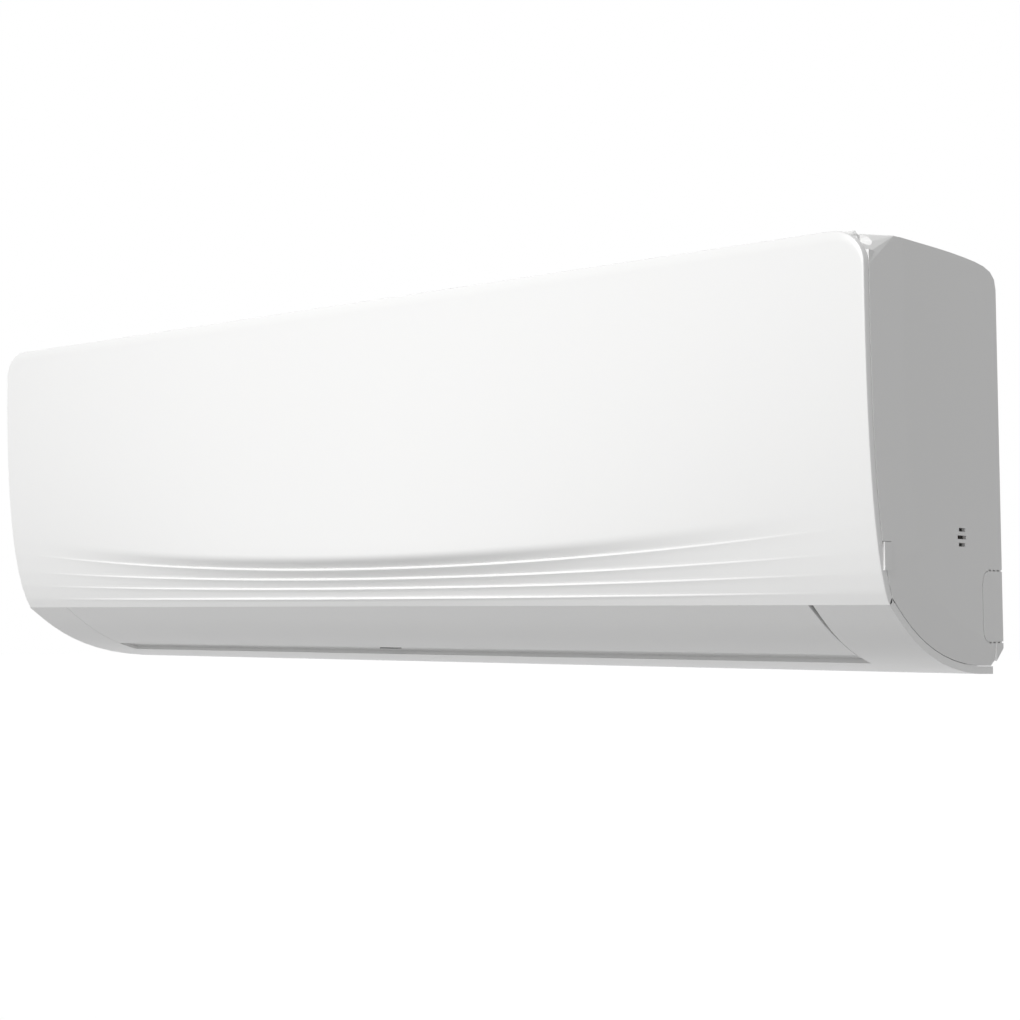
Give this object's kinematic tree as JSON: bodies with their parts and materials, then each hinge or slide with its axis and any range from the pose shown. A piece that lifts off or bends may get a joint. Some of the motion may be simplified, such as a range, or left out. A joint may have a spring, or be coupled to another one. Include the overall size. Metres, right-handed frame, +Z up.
{
  "type": "mini split indoor unit",
  "caption": "Wall-hung air conditioner indoor unit: sculpted hinged panel over a case, swinging louver and vanes at the outlet, coil, cross-flow fan and drives inside.",
  "frame": {"origin": "middle of the wall plate's back face, on the wall", "axes": "+X along the unit to the right as seen from the room, +Y to the wall, +Z up"},
  "size_m": [0.805, 0.1947, 0.263],
  "materials": {
    "panel_white": "smooth satin white moulding",
    "case_white": "fine-grained white moulding",
    "inner_white": "plain pale moulding",
    "inner_black": "matt black moulding",
    "zinc_steel": "zinc-coated sheet",
    "fins": "thin coated fins",
    "copper": "drawn copper tube",
    "nut_brass": "machined brass",
    "soft_black": "matt rubber or foam",
    "filter_net": "woven nylon net in a moulded frame",
    "board_green": "coated circuit board"
  },
  "bodies": {
    "unit": {"case_frame": "case_white", "bottom_cover": "panel_white", "louver_clip": "inner_black", "louver_motor": "zinc_steel", "rear_chassis": "inner_white", "wall_plate": "zinc_steel", "drain_pan": "inner_white", "drain_plug": "soft_black", "evaporator_front_lower": "fins", "evaporator_front_upper": "fins", "evaporator_rear": "fins", "evaporator_end_left": "copper", "evaporator_end_right": "copper", "fan_motor": "zinc_steel", "motor_clamp": "inner_white", "bearing_seat": "soft_black", "fan_bearing": "nut_brass", "vane_motor": "zinc_steel", "control_box": "inner_white", "control_box_cover": "inner_white", "main_board": "board_green", "terminal_block": "inner_black", "display_module": "inner_white", "thermistor_clip": "inner_white", "thermistor": "copper", "gas_pipe": "soft_black", "liquid_pipe": "copper", "gas_flare_nut": "nut_brass", "liquid_flare_nut": "nut_brass", "pipe_clamp": "inner_white"},
    "front_panel": {"front_panel": "panel_white"},
    "louver": {"louver": "panel_white"},
    "fan": {"fan": "inner_black", "motor_shaft": "zinc_steel"},
    "filter_left": {"filter_left": "filter_net"},
    "filter_right": {"filter_right": "filter_net"},
    "auto_button": {"auto_button": "panel_white"},
    "vane_link_left": {"vane_link_left": "inner_white"},
    "vane_link_right": {"vane_link_right": "inner_white"},
    "vane_crank": {"vane_crank": "inner_white"},
    "vane_left_1": {"vane_left_1": "inner_white"},
    "vane_left_2": {"vane_left_2": "inner_white"},
    "vane_left_3": {"vane_left_3": "inner_white"},
    "vane_left_4": {"vane_left_4": "inner_white"},
    "vane_left_5": {"vane_left_5": "inner_white"},
    "vane_right_1": {"vane_right_1": "inner_white"},
    "vane_right_2": {"vane_right_2": "inner_white"},
    "vane_right_3": {"vane_right_3": "inner_white"},
    "vane_right_4": {"vane_right_4": "inner_white"},
    "vane_right_5": {"vane_right_5": "inner_white"},
    "vane_right_6": {"vane_right_6": "inner_white"}
  },
  "joints": [
    {"name": "panel_hinge", "type": "hinge", "parent": "unit", "child": "front_panel", "pos_m": [0, -0.185, 0.1245], "axis": [-1, 0, 0], "range_deg": [0, 62]},
    {"name": "louver_turn", "type": "hinge", "parent": "unit", "child": "louver", "pos_m": [0, -0.11847, -0.10608], "axis": [1, 0, 0], "range_deg": [0, 78]},
    {"name": "fan_spin", "type": "hinge", "parent": "unit", "child": "fan", "pos_m": [0, -0.084, -0.022], "axis": [1, 0, 0], "continuous": true},
    {"name": "filter_left_lift", "type": "hinge", "parent": "unit", "child": "filter_left", "pos_m": [0, -0.059, -0.002], "axis": [-1, 0, 0], "range_deg": [0, 5]},
    {"name": "filter_right_lift", "type": "hinge", "parent": "unit", "child": "filter_right", "pos_m": [0, -0.059, -0.002], "axis": [-1, 0, 0], "range_deg": [0, 5]},
    {"name": "auto_button_press", "type": "slide", "parent": "unit", "child": "auto_button", "axis": [0, 1, 0], "range_m": [0, 0.0012], "stiffness_N_per_m": 250, "springref_m": -0.0004},
    {"name": "vane_left_1_turn", "type": "hinge", "parent": "unit", "child": "vane_left_1", "pos_m": [-0.3, -0.14114, -0.06902], "axis": [0, 0.6193, -0.7852], "range_deg": [-35, 35]},
    {"name": "vane_left_2_turn", "type": "hinge", "parent": "unit", "child": "vane_left_2", "pos_m": [-0.246, -0.14114, -0.06902], "axis": [0, 0.6193, -0.7852], "range_deg": [-35, 35]},
    {"name": "vane_left_3_turn", "type": "hinge", "parent": "unit", "child": "vane_left_3", "pos_m": [-0.192, -0.14114, -0.06902], "axis": [0, 0.6193, -0.7852], "range_deg": [-35, 35]},
    {"name": "vane_left_4_turn", "type": "hinge", "parent": "unit", "child": "vane_left_4", "pos_m": [-0.138, -0.14114, -0.06902], "axis": [0, 0.6193, -0.7852], "range_deg": [-35, 35]},
    {"name": "vane_left_5_turn", "type": "hinge", "parent": "unit", "child": "vane_left_5", "pos_m": [-0.084, -0.14114, -0.06902], "axis": [0, 0.6193, -0.7852], "range_deg": [-35, 35]},
    {"name": "vane_link_left_turn", "type": "hinge", "parent": "vane_left_1", "child": "vane_link_left", "pos_m": [-0.3, -0.11344, -0.07265], "axis": [0, 0.6193, -0.7852], "range_deg": [-35, 35]},
    {"name": "vane_right_1_turn", "type": "hinge", "parent": "unit", "child": "vane_right_1", "pos_m": [0.013, -0.14114, -0.06902], "axis": [0, 0.6193, -0.7852], "range_deg": [-35, 35]},
    {"name": "vane_right_2_turn", "type": "hinge", "parent": "unit", "child": "vane_right_2", "pos_m": [0.067, -0.14114, -0.06902], "axis": [0, 0.6193, -0.7852], "range_deg": [-35, 35]},
    {"name": "vane_right_3_turn", "type": "hinge", "parent": "unit", "child": "vane_right_3", "pos_m": [0.121, -0.14114, -0.06902], "axis": [0, 0.6193, -0.7852], "range_deg": [-35, 35]},
    {"name": "vane_right_4_turn", "type": "hinge", "parent": "unit", "child": "vane_right_4", "pos_m": [0.175, -0.14114, -0.06902], "axis": [0, 0.6193, -0.7852], "range_deg": [-35, 35]},
    {"name": "vane_right_5_turn", "type": "hinge", "parent": "unit", "child": "vane_right_5", "pos_m": [0.229, -0.14114, -0.06902], "axis": [0, 0.6193, -0.7852], "range_deg": [-35, 35]},
    {"name": "vane_right_6_turn", "type": "hinge", "parent": "unit", "child": "vane_right_6", "pos_m": [0.283, -0.14114, -0.06902], "axis": [0, 0.6193, -0.7852], "range_deg": [-35, 35]},
    {"name": "vane_link_right_turn", "type": "hinge", "parent": "vane_right_1", "child": "vane_link_right", "pos_m": [0.013, -0.11344, -0.07265], "axis": [0, 0.6193, -0.7852], "range_deg": [-35, 35]},
    {"name": "vane_crank_turn", "type": "hinge", "parent": "unit", "child": "vane_crank", "pos_m": [0.328, -0.14114, -0.06902], "axis": [0, 0.6193, -0.7852], "range_deg": [-35, 35]}
  ],
  "couplings": [
    {"joint": "vane_left_2_turn", "follows": "vane_left_1_turn", "ratio": 1},
    {"joint": "vane_left_3_turn", "follows": "vane_left_1_turn", "ratio": 1},
    {"joint": "vane_left_4_turn", "follows": "vane_left_1_turn", "ratio": 1},
    {"joint": "vane_left_5_turn", "follows": "vane_left_1_turn", "ratio": 1},
    {"joint": "vane_link_left_turn", "follows": "vane_left_1_turn", "ratio": -1},
    {"joint": "vane_right_2_turn", "follows": "vane_right_1_turn", "ratio": 1},
    {"joint": "vane_right_3_turn", "follows": "vane_right_1_turn", "ratio": 1},
    {"joint": "vane_right_4_turn", "follows": "vane_right_1_turn", "ratio": 1},
    {"joint": "vane_right_5_turn", "follows": "vane_right_1_turn", "ratio": 1},
    {"joint": "vane_right_6_turn", "follows": "vane_right_1_turn", "ratio": 1},
    {"joint": "vane_link_right_turn", "follows": "vane_right_1_turn", "ratio": -1},
    {"joint": "vane_crank_turn", "follows": "vane_right_1_turn", "ratio": 1}
  ]
}
